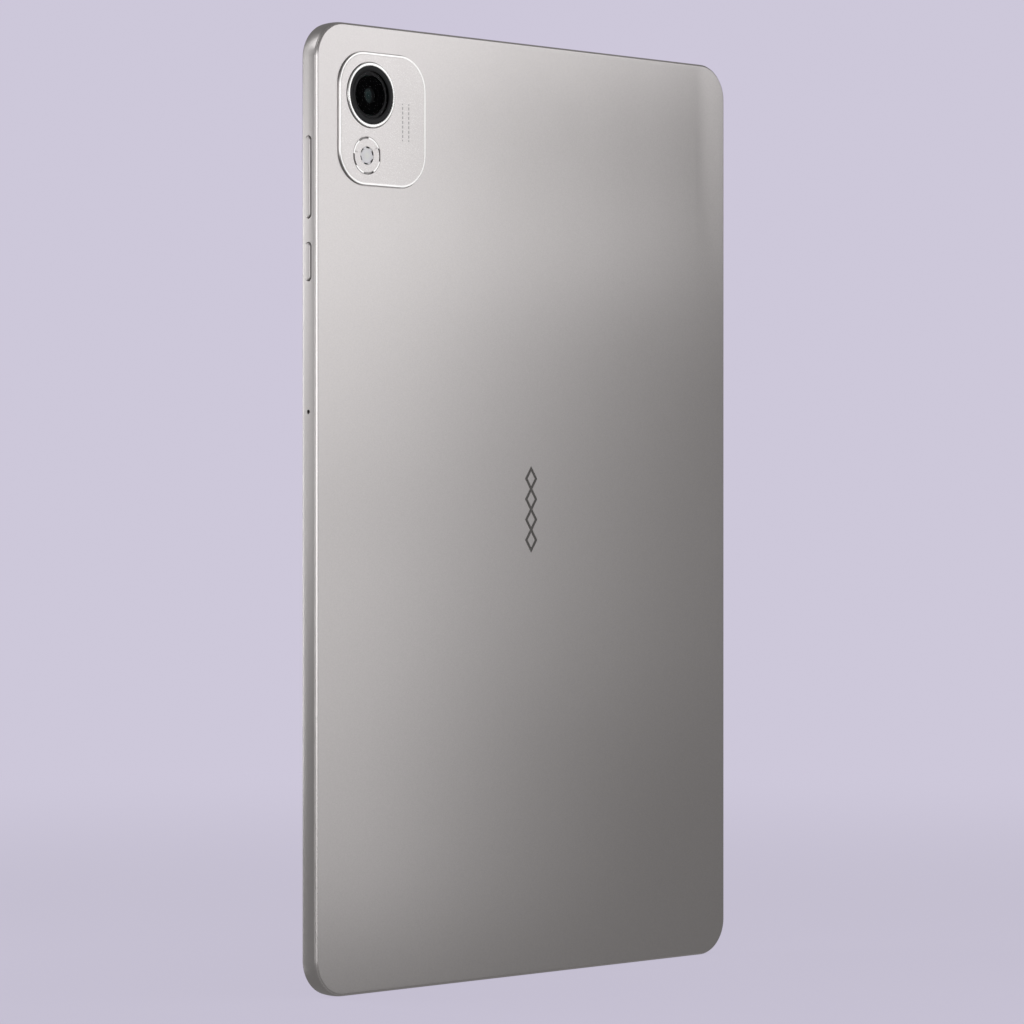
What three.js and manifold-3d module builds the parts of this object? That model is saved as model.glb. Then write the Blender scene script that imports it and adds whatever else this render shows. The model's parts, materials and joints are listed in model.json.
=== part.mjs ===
// A slim 11.5-inch-class tablet computer: a metal unibody tray, the display stack that closes it,
// a raised camera island, two side keys and the electronics inside. Millimetres, +Z up.
//
// Every piece is drawn in the device's own frame: x across, y up the long edge, z from the back
// plane (0) towards the screen, so what stands proud of the back has a negative z. The `device`
// group turns that frame upright, with the screen facing -Y and the key edge on +X.
import * as THREE from "three";
import { mergeVertices } from "three/addons/utils/BufferGeometryUtils.js";
import Module from "manifold-3d";

const wasm = await Module();
wasm.setup();

// ---------------------------------------------------------------- driving dimensions
const BODY = { width: 167.28, height: 266.95, depth: 6.77, radius: 10.3 };
const BACK_ROUND = 0.77; // rounding between the back and the side band
const FRONT_ROUND = 1.1; // wider rounding between the side band and the rim
const RIM_DEPTH = 6.1; // the metal rim ends here, and the glass stands a little above it
const REAR_WALL = 0.8;
const SIDE_WALL = 2.4;
const LEDGE = { inset: 1.8, depth: 5.9 }; // the step that holds the gasket
const SLIP = 0.1; // glue line or slip gap between stacked pieces

const GLASS = { inset: 2.5, back: 6.0, round: 0.3 };
const GASKET = { outer: 1.9, inner: 2.4, back: 6.0, front: 6.45 };
const FRAME = { inset: 2.7, rim: 3.5, back: 4.35, plate: 0.35, front: 5.9 };
const PANEL = { inset: 7.0, radius: 2.0, back: 5.45, front: 5.92 };
const BACKLIGHT = { inset: 7.2, back: 4.8, front: 5.38 };

const ISLAND = { x: 59.04, y: 240.95, width: 32.85, height: 36.6, radius: 9.6, proud: 0.6 };
const ISLAND_LIP = { width: 0.5, drop: 0.16, dish: 0.05, step: 0.4 };
const SEAT = { gap: 0.15, floor: 0.35, foot: 0.25 }; // recess in the back that holds the island
const LENS = { x: 63.65, y: 247.5, hole: 9.1 };
const TRIM = { outer: 8.95, inner: 8.1, proud: 0.95, edge: 0.22 };
const BEZEL = { outer: 8.0, inner: 6.62, lip: 5.6, top: 0.92, foot: 0.74, seat: 0.25 };
const WINDOW = { radius: 6.5, proud: 0.76, thickness: 0.45 };
const SHROUD = { outer: 5.4, inner: 2.15, front: -0.25, back: -0.05 };
const BARREL = { radius: 3.4, bore: 2.9, front: 0.3, seat: 0.8, back: 3.0 };
const ELEMENT = { radius: 2.7, crown: 0.35, edge: 0.6, back: 0.72 };
const CAMERA = { side: 9.5, bore: 3.6, front: 0.45, back: 3.4, floor: 0.25, hole: 7.0 };
const SENSOR_BOARD = { width: 10, height: 12, back: 3.5, front: 3.95 };
const FLASH = { x: 65.1, y: 230.77, hole: 5.15, disc: 4.7, flange: 5.02, step: 0.25 };
const FLASH_LENS = { radius: 2.1, sink: 0.08, gap: 0.4, hole: 3.0 };
const FLASH_LED = { side: 1.8, back: 0.5, front: 1.0 };
const FLASH_BOARD = { side: 6.0, back: 1.1, front: 1.6 };

const KEY = { depth: 2.9, width: 2.7, proud: 0.3, gap: 0.15, travel: 0.25, round: 0.25 };
const VOLUME_KEY = { y: 224.0, length: 22.2, plungers: [-7, 7] };
const POWER_KEY = { y: 200.95, length: 10.3, plungers: [0] };
const FLANGE = { play: 0.35, thickness: 0.5, extra: 1.0 };
const PLUNGER = { reach: 0.35, width: 1.6, length: 2.4 };
const SWITCH = { thickness: 0.6, width: 2.4, length: 3.4, stud: 0.7, stud_height: 0.2 };
const KEY_BOARD = { bottom: 190, top: 238, width: 2.9, film: 0.15, bracket: 0.5 };
const SIDE_MICROPHONE = { y: 160.0, hole: 0.5, length: 4.0, width: 2.6, thickness: 1.1 };

const BAND_DEPTH = 2.65; // depth of the ports' centre line, near the middle of the side band
const SPEAKER = { length: 34, width: 7.8, back: 1.0, front: 3.95, inset: 2.85, radius: 1.5 };
const SPEAKER_X = { top: 40, bottom: 45 };
const SLOT = { length: 3.4, width: 1.3, pitch: 5.2, count: 6 };
const GRILLE = { thickness: 0.15, width: 2.6, margin: 1.2 };
const USB = { width: 8.94, height: 3.16, wall: 0.3, mouth: 0.4, depth: 7.6, gap: 0.15 };
const TONGUE = { width: 6.7, thickness: 0.7, mouth: 1.6, base: 6.0, back: 7.5 };

const BOARD = { back: 1.9, front: 2.6 };
const MAIN_BOARD = { left: -70, right: 52, bottom: 203, top: 253 };
const USB_BOARD = { half: 22, bottom: 3, top: 17, notch: 4.8, notch_top: 8.6 };
const BOTTOM_MICROPHONE = { x: -14, y: 4.6, length: 3.6, width: 2.8, height: 1.0 };
const SCREW = { inset: 3, shank: 0.7, head: 1.5, head_height: 0.6, tip: 1.05, socket: 0.55 };
const BOSS = { radius: 2.2, bore: 0.9, front: 1.8, floor: 0.9, clearance: 1.0 };
const SHIELD = { wall_height: 1.45, radius: 1.0 };
const FLEX = { thickness: 0.12, back: 2.7 };
const MAIN_FLEX = { half: 2.0, bottom: 13, top: 208 };
const DISPLAY_FLEX = { half: 12, edge: 260.2, bottom: 226, back: 4.14, front: 5.85 };
const CELL = { width: 71, height: 128, bottom: 62, near: 3, back: 1.05, front: 4.15, radius: 2 };
const BATTERY_BOARD = { half: 30, bottom: 191.5, top: 197.5, back: 1.8, front: 2.55 };
const BATTERY_FLEX = { left: 8, right: 18, bottom: 192, top: 209 };
const GRAPHITE_SHEET = { half: 72, bottom: 34, top: 198, back: 0.86, front: 0.96 };
const FRONT_CAMERA = { x: 78.3, side: 4.4, back: 2.2, front: 4.25, barrel: 1.1, tip: 5.85 };
const ANTENNA = { x: -70, y: 257.4, width: 18, height: 7.6, back: 3.3, front: 3.75 };
const COAX = { radius: 0.4, depth: 3.1, from_x: -63, to_x: -50, sides: 8, steps: 14 };

const MARK = { half_length: 3.6, half_width: 2.425, stroke: 0.75, links: 4, gap: 0.06 };
const MARK_RECESS = { floor: 0.25, face: 0.03, back: 0.2 };

const ARC_STEPS = 3; // half the number of segments in each arc of an outline
const FINE = { arcSteps: 6 }; // for outlines that show
const LATHE_STEPS = 36;
const SCREW_STEPS = 12;
const PAST = 1; // how far a cutter runs past the surface that it cuts
const MERGE_TOLERANCE = 1e-4;

// ---------------------------------------------------------------- outlines
function roundedRect(width, height, radius, x = 0, y = 0) {
  const right = x + width / 2 - radius;
  const left = x - width / 2 + radius;
  const top = y + height / 2 - radius;
  const bottom = y - height / 2 + radius;
  return new THREE.Shape()
    .absarc(right, top, radius, 0, Math.PI / 2)
    .absarc(left, top, radius, Math.PI / 2, Math.PI)
    .absarc(left, bottom, radius, Math.PI, 1.5 * Math.PI)
    .absarc(right, bottom, radius, 1.5 * Math.PI, 2 * Math.PI);
}

// A circle as one to four arcs, more of them on a bigger one, so that it has more segments.
function circle(radius, x = 0, y = 0) {
  const arcs = Math.min(Math.ceil(radius), 4);
  const shape = new THREE.Shape();
  for (let i = 0; i < arcs; i++) {
    const start = (2 * Math.PI * i) / arcs;
    shape.absarc(x, y, radius, start, start + (2 * Math.PI) / arcs);
  }
  return shape;
}

// A slot with round ends, lying along x or standing along y, whichever side is longer.
function stadium(width, height) {
  const radius = Math.min(width, height) / 2;
  const x = width / 2 - radius;
  const y = height / 2 - radius;
  const start = y > 0 ? 0 : -Math.PI / 2;
  return new THREE.Shape()
    .absarc(x, y, radius, start, start + Math.PI)
    .absarc(-x, -y, radius, start + Math.PI, start + 2 * Math.PI);
}

const polygon = (points) => new THREE.Shape(points.map(([x, y]) => new THREE.Vector2(x, y)));

// The body's outline, `inset` millimetres inside its edge.
const bodyOutline = (inset) =>
  roundedRect(
    BODY.width - 2 * inset,
    BODY.height - 2 * inset,
    Math.max(BODY.radius - inset, PANEL.radius),
    0,
    BODY.height / 2,
  );

// ---------------------------------------------------------------- solids from outlines
// An outline in x and y, standing from depth `near` to depth `far`, its edges rounded by `round`.
function plate(outline, near, far, { round = 0, roundSteps = 1, arcSteps = ARC_STEPS } = {}) {
  return new THREE.ExtrudeGeometry(outline, {
    depth: far - near - 2 * round,
    curveSegments: arcSteps,
    bevelEnabled: round > 0,
    bevelThickness: round,
    bevelSize: round,
    bevelOffset: -round,
    bevelSegments: roundSteps,
  }).translate(0, 0, near + round);
}

// The same, standing from x = `from` to x = `to`. The outline's y stays upright.
const alongX = (outline, from, to, y, z, options) =>
  plate(outline, from, to, options).rotateY(Math.PI / 2).translate(0, y, z);

// The same, standing from y = `from` to y = `to`. The outline's x stays across.
const alongY = (outline, from, to, x, z) =>
  plate(outline, from, to).rotateX(-Math.PI / 2).translate(x, 0, z);

const block = (left, right, bottom, top, back, front) =>
  new THREE.BoxGeometry(right - left, top - bottom, front - back).translate(
    (left + right) / 2,
    (bottom + top) / 2,
    (back + front) / 2,
  );

// A ring or disc about the depth axis. Each profile point is [radius, depth], and the profile
// runs so that the material is on its left.
const turned = (profile, steps = LATHE_STEPS) =>
  new THREE.LatheGeometry(
    profile.map(([radius, depth]) => new THREE.Vector2(radius, depth)),
    steps,
  ).rotateX(Math.PI / 2);

const ring = (profile) => turned([...profile, profile[0]]);

// ---------------------------------------------------------------- joining and cutting
function toSolid(geometry) {
  const bare = geometry.clone();
  bare.deleteAttribute("normal");
  bare.deleteAttribute("uv");
  const merged = mergeVertices(bare, MERGE_TOLERANCE);
  return new wasm.Manifold(
    new wasm.Mesh({
      numProp: 3,
      vertProperties: merged.attributes.position.array,
      triVerts: new Uint32Array(merged.index.array),
    }),
  );
}

function toGeometry(solid) {
  const { vertProperties, triVerts } = solid.getMesh();
  const geometry = new THREE.BufferGeometry();
  geometry.setAttribute("position", new THREE.BufferAttribute(vertProperties, 3));
  geometry.setIndex(new THREE.BufferAttribute(triVerts, 1));
  geometry.computeVertexNormals();
  return geometry;
}

const join = (geometries) =>
  toGeometry(geometries.map(toSolid).reduce((whole, next) => whole.add(next)));

const carve = (geometry, cutters) =>
  toGeometry(cutters.map(toSolid).reduce((left, cut) => left.subtract(cut), toSolid(geometry)));

const common = (a, b) => toGeometry(toSolid(a).intersect(toSolid(b)));

// ---------------------------------------------------------------- the scene graph
const device = new THREE.Group();
device.rotation.x = Math.PI / 2;
device.position.set(-KEY.proud / 2, (BODY.depth - TRIM.proud) / 2, 0);

function piece(name, geometry, [color, roughness, metalness], x = 0, y = 0) {
  const material = new THREE.MeshStandardMaterial({ color, roughness, metalness });
  const mesh = new THREE.Mesh(geometry, material);
  mesh.name = name;
  mesh.position.set(x, y, 0);
  device.add(mesh);
}

const ANODISED = ["#aaa6a3", 0.42, 0.9];
const FROSTED = ["#d2cfcc", 0.5, 0.75];
const POLISHED = ["#e4e2e0", 0.12, 1.0];
const DARK_POLISHED = ["#3a3836", 0.15, 1.0];
const BLACK_METAL = ["#0b0b0c", 0.25, 0.6];
const LENS_GLASS = ["#0a0d0e", 0.03, 0.0];
const CLEAR_PLASTIC = ["#cfd2c9", 0.2, 0.0];
const PHOSPHOR = ["#e8c93a", 0.5, 0.0];
const FRONT_GLASS = ["#050506", 0.04, 0.0];
const BLACK_PLASTIC = ["#141415", 0.55, 0.0];
const WHITE_PLASTIC = ["#e9eae8", 0.45, 0.0];
const MAGNESIUM = ["#6d7072", 0.6, 0.8];
const CIRCUIT_BOARD = ["#11382c", 0.45, 0.1];
const STEEL = ["#b4b6b8", 0.35, 1.0];
const FLEX_FILM = ["#7a4a1a", 0.4, 0.1];
const POUCH_FOIL = ["#2b2c2f", 0.4, 0.7];
const GRAPHITE = ["#2a2a2c", 0.6, 0.2];

// ---------------------------------------------------------------- layout of repeated features
const MAIN_SCREWS = [MAIN_BOARD.bottom + SCREW.inset, MAIN_BOARD.top - SCREW.inset].flatMap(
  (y) => [MAIN_BOARD.left + SCREW.inset, MAIN_BOARD.right - SCREW.inset].map((x) => [x, y]),
);
const USB_SCREWS = [-1, 1].map((side) => [
  side * (USB_BOARD.half - SCREW.inset),
  USB_BOARD.top - SCREW.inset,
]);

const SPEAKERS = [
  { name: "top_left", x: SPEAKER_X.top, edge: BODY.height, inward: -1 },
  { name: "top_right", x: -SPEAKER_X.top, edge: BODY.height, inward: -1 },
  { name: "bottom_left", x: SPEAKER_X.bottom, edge: 0, inward: 1 },
  { name: "bottom_right", x: -SPEAKER_X.bottom, edge: 0, inward: 1 },
];

// The low and high end of a stretch `thick` deep that starts `from` inside a speaker's edge.
function insideEdge({ edge, inward }, from, thick) {
  const near = edge + inward * from;
  const far = near + inward * thick;
  return [Math.min(near, far), Math.max(near, far)];
}

// ---------------------------------------------------------------- emblem
// A plain chain of rhombic links. `grow` widens it all round, for the recess it lies in.
function emblem(grow, back, front) {
  const { half_length, half_width, stroke, links } = MARK;
  const across = (half_length * half_width) / Math.hypot(half_length, half_width);
  const pitch = (2 * half_length * (across - stroke / 2)) / across;
  const rhombus = (offset, y, near, far) => {
    const x = (half_width * (across + offset)) / across;
    const reach = (half_length * (across + offset)) / across;
    return plate(polygon([[x, y], [0, y + reach], [-x, y], [0, y - reach]]), near, far);
  };
  const chain = [];
  for (let link = 0; link < links; link++) {
    const y = (link - (links - 1) / 2) * pitch;
    const opening = rhombus(-stroke - grow, y, back - PAST, front + PAST);
    chain.push(carve(rhombus(grow, y, back, front), [opening]));
  }
  return join(chain);
}

// ---------------------------------------------------------------- casing
const WALL_X = BODY.width / 2 - SIDE_WALL; // inner face of the key edge's wall

function keyHole({ y, length }) {
  const outline = stadium(KEY.width + 2 * KEY.gap, length + 2 * KEY.gap);
  return alongX(outline, WALL_X - PAST, BODY.width / 2 + PAST, y, KEY.depth);
}

function speakerSlots(speaker) {
  const [low, high] = insideEdge(speaker, -PAST, SIDE_WALL + 2 * PAST);
  const outline = stadium(SLOT.length, SLOT.width);
  return Array.from({ length: SLOT.count }, (_, i) => {
    const offset = (i - (SLOT.count - 1) / 2) * SLOT.pitch;
    return alongY(outline, low, high, speaker.x + offset, BAND_DEPTH);
  });
}

const throughRearWall = (outline) => plate(outline, -PAST, REAR_WALL + PAST);
const throughBottomWall = (outline, x) =>
  alongY(outline, -PAST, SIDE_WALL + PAST, x, BAND_DEPTH);

function rearCover() {
  const deep = 2 * BODY.depth;
  const shell = common(
    plate(bodyOutline(0), 0, deep, { ...FINE, round: BACK_ROUND, roundSteps: 3 }),
    plate(bodyOutline(0), -deep, RIM_DEPTH, { ...FINE, round: FRONT_ROUND, roundSteps: 3 }),
  );
  const tray = carve(shell, [
    plate(bodyOutline(SIDE_WALL), REAR_WALL, deep),
    plate(bodyOutline(LEDGE.inset), LEDGE.depth, deep, FINE),
  ]);
  const screws = [...MAIN_SCREWS, ...USB_SCREWS];
  const bosses = screws.map(([x, y]) =>
    plate(circle(BOSS.radius, x, y), REAR_WALL - SLIP, BOSS.front),
  );
  const seat = roundedRect(
    ISLAND.width + 2 * SEAT.gap,
    ISLAND.height + 2 * SEAT.gap,
    ISLAND.radius + SEAT.gap,
    ISLAND.x,
    ISLAND.y,
  );
  const usbMouth = stadium(USB.width + 2 * USB.gap, USB.height + 2 * USB.gap);
  const microphoneHole = circle(SIDE_MICROPHONE.hole);
  return carve(join([tray, ...bosses]), [
    plate(seat, -PAST, SEAT.floor, FINE),
    throughRearWall(circle(CAMERA.hole, LENS.x, LENS.y)),
    throughRearWall(circle(FLASH_LENS.hole, FLASH.x, FLASH.y)),
    keyHole(VOLUME_KEY),
    keyHole(POWER_KEY),
    alongX(microphoneHole, WALL_X - PAST, BODY.width / 2 + PAST, SIDE_MICROPHONE.y, KEY.depth),
    throughBottomWall(microphoneHole, BOTTOM_MICROPHONE.x),
    throughBottomWall(usbMouth, 0),
    ...SPEAKERS.flatMap(speakerSlots),
    ...screws.map(([x, y]) => plate(circle(BOSS.bore, x, y), BOSS.floor, BOSS.front + PAST)),
    emblem(MARK.gap, -PAST, MARK_RECESS.floor).translate(0, BODY.height / 2, 0),
  ]);
}

piece("rear_cover", rearCover(), ANODISED);
piece(
  "back_mark",
  emblem(0, MARK_RECESS.face, MARK_RECESS.back),
  DARK_POLISHED,
  0,
  BODY.height / 2,
);

// ---------------------------------------------------------------- camera island
// A plate with a sloping polished lip and a slightly dished face.
function island() {
  const { width, height, radius, proud } = ISLAND;
  const { width: lip, drop, dish, step } = ISLAND_LIP;
  const outline = (inset) =>
    roundedRect(width - 2 * inset, height - 2 * inset, radius - inset, ISLAND.x, ISLAND.y);
  const body = plate(outline(0), drop - proud, SEAT.foot, FINE);
  const crest = new THREE.ExtrudeGeometry(outline(0), {
    depth: drop,
    curveSegments: FINE.arcSteps,
    bevelThickness: drop,
    bevelSize: lip,
    bevelOffset: -lip,
    bevelSegments: 1,
  }).translate(0, 0, drop - proud);
  const crown = common(crest, plate(outline(-PAST), -proud - PAST, 0));
  return carve(join([body, crown]), [
    plate(outline(lip + step), -proud - PAST, dish - proud, FINE),
    throughRearWall(circle(LENS.hole, LENS.x, LENS.y)),
    throughRearWall(circle(FLASH.hole, FLASH.x, FLASH.y)),
  ]);
}

piece("camera_island", island(), FROSTED);

piece(
  "lens_trim_ring",
  ring([
    [TRIM.inner, TRIM.edge / 2 - TRIM.proud],
    [TRIM.inner + TRIM.edge / 2, -TRIM.proud],
    [TRIM.outer - TRIM.edge, -TRIM.proud],
    [TRIM.outer - TRIM.edge / 3, TRIM.edge / 3 - TRIM.proud],
    [TRIM.outer, TRIM.edge - TRIM.proud],
    [TRIM.outer, SEAT.foot],
    [TRIM.inner, SEAT.foot],
  ]),
  POLISHED,
  LENS.x,
  LENS.y,
);

piece(
  "lens_bezel_ring",
  ring([
    [BEZEL.lip, -BEZEL.seat],
    [BEZEL.inner, -BEZEL.seat],
    [BEZEL.inner, -BEZEL.foot],
    [BEZEL.outer, -BEZEL.top],
    [BEZEL.outer, SEAT.foot],
    [BEZEL.lip, SEAT.foot],
  ]),
  BLACK_METAL,
  LENS.x,
  LENS.y,
);

piece(
  "lens_window",
  plate(circle(WINDOW.radius), -WINDOW.proud, WINDOW.thickness - WINDOW.proud, {
    ...FINE,
    round: SLIP,
  }),
  LENS_GLASS,
  LENS.x,
  LENS.y,
);

piece(
  "lens_shroud",
  ring([
    [SHROUD.inner, SHROUD.front],
    [SHROUD.outer, SHROUD.front],
    [SHROUD.outer, SHROUD.back],
    [SHROUD.inner + SLIP, SHROUD.back],
  ]),
  BLACK_METAL,
  LENS.x,
  LENS.y,
);

piece(
  "lens_barrel",
  turned([
    [0, BARREL.seat],
    [BARREL.bore, BARREL.seat],
    [BARREL.bore, BARREL.front],
    [BARREL.radius, BARREL.front],
    [BARREL.radius, BARREL.back],
    [0, BARREL.back],
  ]),
  BLACK_METAL,
  LENS.x,
  LENS.y,
);

// A plano-convex lens, its dome an arc from the crown to the edge.
function frontElement() {
  const rise = ELEMENT.edge - ELEMENT.crown;
  const dome = new THREE.EllipseCurve(0, ELEMENT.edge, ELEMENT.radius, rise, -Math.PI / 2, 0);
  const [, ...arc] = dome.getPoints(ARC_STEPS).map(({ x, y }) => [x, y]);
  return turned([[0, ELEMENT.crown], ...arc, [ELEMENT.radius, ELEMENT.back], [0, ELEMENT.back]]);
}

piece("lens_element", frontElement(), LENS_GLASS, LENS.x, LENS.y);

const halfCamera = CAMERA.side / 2;
piece(
  "camera_housing",
  carve(block(-halfCamera, halfCamera, -halfCamera, halfCamera, CAMERA.front, CAMERA.back), [
    plate(circle(CAMERA.bore), CAMERA.front - PAST, CAMERA.back - CAMERA.floor),
  ]),
  BLACK_PLASTIC,
  LENS.x,
  LENS.y,
);

piece(
  "camera_sensor_board",
  plate(
    roundedRect(SENSOR_BOARD.width, SENSOR_BOARD.height, SHIELD.radius),
    SENSOR_BOARD.back,
    SENSOR_BOARD.front,
  ),
  CIRCUIT_BOARD,
  LENS.x,
  LENS.y,
);

piece(
  "flash_bezel",
  ring([
    [FLASH_LENS.radius + FLASH_LENS.gap, ISLAND_LIP.dish - ISLAND.proud],
    [FLASH.disc, ISLAND_LIP.dish - ISLAND.proud],
    [FLASH.disc, FLASH.step - ISLAND.proud],
    [FLASH.flange, FLASH.step - ISLAND.proud],
    [FLASH.flange, SEAT.foot],
    [FLASH_LENS.radius + FLASH_LENS.gap, SEAT.foot],
  ]),
  FROSTED,
  FLASH.x,
  FLASH.y,
);

piece(
  "flash_lens",
  plate(circle(FLASH_LENS.radius), FLASH_LENS.sink - ISLAND.proud, SEAT.foot, {
    ...FINE,
    round: SLIP / 2,
  }),
  CLEAR_PLASTIC,
  FLASH.x,
  FLASH.y,
);

const squareChip = ({ side, back, front }) =>
  block(-side / 2, side / 2, -side / 2, side / 2, back, front);
piece("flash_led", squareChip(FLASH_LED), PHOSPHOR, FLASH.x, FLASH.y);
piece("flash_board", squareChip(FLASH_BOARD), CIRCUIT_BOARD, FLASH.x, FLASH.y);

// ---------------------------------------------------------------- side keys
const FLANGE_X = WALL_X - FLANGE.play;
const PLUNGER_X = FLANGE_X - FLANGE.thickness - PLUNGER.reach;
const SWITCH_X = PLUNGER_X - KEY.travel - SLIP / 2; // front of a switch's stud
const FILM_X = SWITCH_X - SWITCH.stud_height - SWITCH.thickness - SLIP / 2;
const BRACKET_X = FILM_X - KEY_BOARD.film - SLIP;

// A cap with round ends, a flange that keeps it in the wall, and a plunger for each switch.
function key({ y, length, plungers }) {
  const cap = stadium(KEY.width, length);
  const flange = stadium(KEY.width, length + 2 * FLANGE.extra);
  const foot = roundedRect(PLUNGER.width, PLUNGER.length, PLUNGER.width / 4);
  const flangeBack = FLANGE_X - FLANGE.thickness;
  return join([
    alongX(cap, flangeBack, BODY.width / 2 + KEY.proud, y, KEY.depth, {
      round: KEY.round,
      roundSteps: 2,
    }),
    alongX(flange, flangeBack, FLANGE_X, y, KEY.depth),
    ...plungers.map((at) => alongX(foot, PLUNGER_X, FLANGE_X, y + at, KEY.depth)),
  ]);
}

function keySwitch(y) {
  const front = SWITCH_X - SWITCH.stud_height;
  const body = roundedRect(SWITCH.width, SWITCH.length, SWITCH.width / 4);
  return join([
    alongX(body, front - SWITCH.thickness, front, y, KEY.depth),
    alongX(circle(SWITCH.stud), front - SWITCH.thickness, SWITCH_X, y, KEY.depth),
  ]);
}

piece("volume_key", key(VOLUME_KEY), ANODISED);
piece("power_key", key(POWER_KEY), ANODISED);
piece("volume_down_switch", keySwitch(VOLUME_KEY.y + VOLUME_KEY.plungers[0]), STEEL);
piece("volume_up_switch", keySwitch(VOLUME_KEY.y + VOLUME_KEY.plungers[1]), STEEL);
piece("power_switch", keySwitch(POWER_KEY.y), STEEL);

function keyStrip(from, to) {
  const { bottom, top, width } = KEY_BOARD;
  return block(from, to, bottom, top, KEY.depth - width / 2, KEY.depth + width / 2);
}

piece("side_key_flex", keyStrip(FILM_X - KEY_BOARD.film, FILM_X), FLEX_FILM);
piece("side_key_bracket", keyStrip(BRACKET_X - KEY_BOARD.bracket, BRACKET_X), STEEL);

piece(
  "side_microphone",
  block(
    WALL_X - SLIP - SIDE_MICROPHONE.thickness,
    WALL_X - SLIP,
    SIDE_MICROPHONE.y - SIDE_MICROPHONE.length / 2,
    SIDE_MICROPHONE.y + SIDE_MICROPHONE.length / 2,
    KEY.depth - SIDE_MICROPHONE.width / 2,
    KEY.depth + SIDE_MICROPHONE.width / 2,
  ),
  STEEL,
);

// ---------------------------------------------------------------- display stack
piece(
  "cover_glass",
  plate(bodyOutline(GLASS.inset), GLASS.back, BODY.depth, { ...FINE, round: GLASS.round }),
  FRONT_GLASS,
);

piece(
  "display_gasket",
  carve(plate(bodyOutline(GASKET.outer), GASKET.back, GASKET.front, FINE), [
    plate(bodyOutline(GASKET.inner), GASKET.back - PAST, GASKET.front + PAST, FINE),
  ]),
  BLACK_PLASTIC,
);

piece("lcd_panel", plate(bodyOutline(PANEL.inset), PANEL.back, PANEL.front), FRONT_GLASS);
piece(
  "backlight_unit",
  plate(bodyOutline(BACKLIGHT.inset), BACKLIGHT.back, BACKLIGHT.front),
  WHITE_PLASTIC,
);

// A shallow tray behind the panel, with a slot for the display's flex and a camera hole.
function displayFrame() {
  const floor = FRAME.back + FRAME.plate;
  const { half, edge } = DISPLAY_FLEX;
  return carve(plate(bodyOutline(FRAME.inset), FRAME.back, FRAME.front), [
    plate(bodyOutline(FRAME.inset + FRAME.rim), floor, FRAME.front + PAST),
    block(-half - PAST, half + PAST, edge - SLIP, edge + 3 * SLIP, FRAME.back - PAST, floor + PAST),
    plate(
      circle(FRONT_CAMERA.barrel + 2 * SLIP, FRONT_CAMERA.x, BODY.height / 2),
      FRAME.back - PAST,
      FRAME.front + PAST,
    ),
  ]);
}

piece("display_frame", displayFrame(), MAGNESIUM);

// A thin film bent round the panel's top edge: an L in depth and height, wide in x.
function displayFlex() {
  const { half, edge, bottom, back, front } = DISPLAY_FLEX;
  const { thickness } = FLEX;
  return join([
    block(-half, half, bottom, edge + thickness, back, back + thickness),
    block(-half, half, edge, edge + thickness, back, front),
  ]);
}

piece("display_flex", displayFlex(), FLEX_FILM);

const frontCameraHalf = FRONT_CAMERA.side / 2;
piece(
  "front_camera",
  join([
    block(
      -frontCameraHalf,
      frontCameraHalf,
      -frontCameraHalf,
      frontCameraHalf,
      FRONT_CAMERA.back,
      FRONT_CAMERA.front,
    ),
    plate(circle(FRONT_CAMERA.barrel), FRONT_CAMERA.back, FRONT_CAMERA.tip),
  ]),
  BLACK_PLASTIC,
  FRONT_CAMERA.x,
  BODY.height / 2,
);

// ---------------------------------------------------------------- battery
function batteryCell(side) {
  const x = side * (CELL.near + CELL.width / 2);
  const outline = roundedRect(CELL.width, CELL.height, CELL.radius);
  const y = CELL.bottom + CELL.height / 2;
  return plate(outline, CELL.back, CELL.front, { round: FLEX.thickness }).translate(x, y, 0);
}

piece("battery_cell_left", batteryCell(1), POUCH_FOIL);
piece("battery_cell_right", batteryCell(-1), POUCH_FOIL);
piece(
  "battery_board",
  block(
    -BATTERY_BOARD.half,
    BATTERY_BOARD.half,
    BATTERY_BOARD.bottom,
    BATTERY_BOARD.top,
    BATTERY_BOARD.back,
    BATTERY_BOARD.front,
  ),
  CIRCUIT_BOARD,
);

const film = (left, right, bottom, top) =>
  block(left, right, bottom, top, FLEX.back, FLEX.back + FLEX.thickness);

piece(
  "battery_flex",
  film(BATTERY_FLEX.left, BATTERY_FLEX.right, BATTERY_FLEX.bottom, BATTERY_FLEX.top),
  FLEX_FILM,
);
piece(
  "graphite_sheet",
  block(
    -GRAPHITE_SHEET.half,
    GRAPHITE_SHEET.half,
    GRAPHITE_SHEET.bottom,
    GRAPHITE_SHEET.top,
    GRAPHITE_SHEET.back,
    GRAPHITE_SHEET.front,
  ),
  GRAPHITE,
);

// ---------------------------------------------------------------- circuit boards
const screwHoles = (screws) =>
  screws.map(([x, y]) => plate(circle(BOSS.clearance, x, y), BOARD.back - PAST, BOARD.front + PAST));

piece(
  "main_board",
  carve(
    block(
      MAIN_BOARD.left,
      MAIN_BOARD.right,
      MAIN_BOARD.bottom,
      MAIN_BOARD.top,
      BOARD.back,
      BOARD.front,
    ),
    screwHoles(MAIN_SCREWS),
  ),
  CIRCUIT_BOARD,
);

// A pressed-steel can, open towards the board that it sits on.
function shieldCan(width, height) {
  const { wall_height, radius } = SHIELD;
  const back = BOARD.front + SLIP;
  const can = plate(roundedRect(width, height, radius), back, back + wall_height);
  const inside = roundedRect(width - 4 * SLIP, height - 4 * SLIP, radius - 2 * SLIP);
  return carve(can, [plate(inside, back - PAST, back + wall_height - 2 * SLIP)]);
}

piece("processor_shield", shieldCan(44, 34), STEEL, -36, 228);
piece("radio_shield", shieldCan(24, 34), STEEL, 34, 228);

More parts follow.
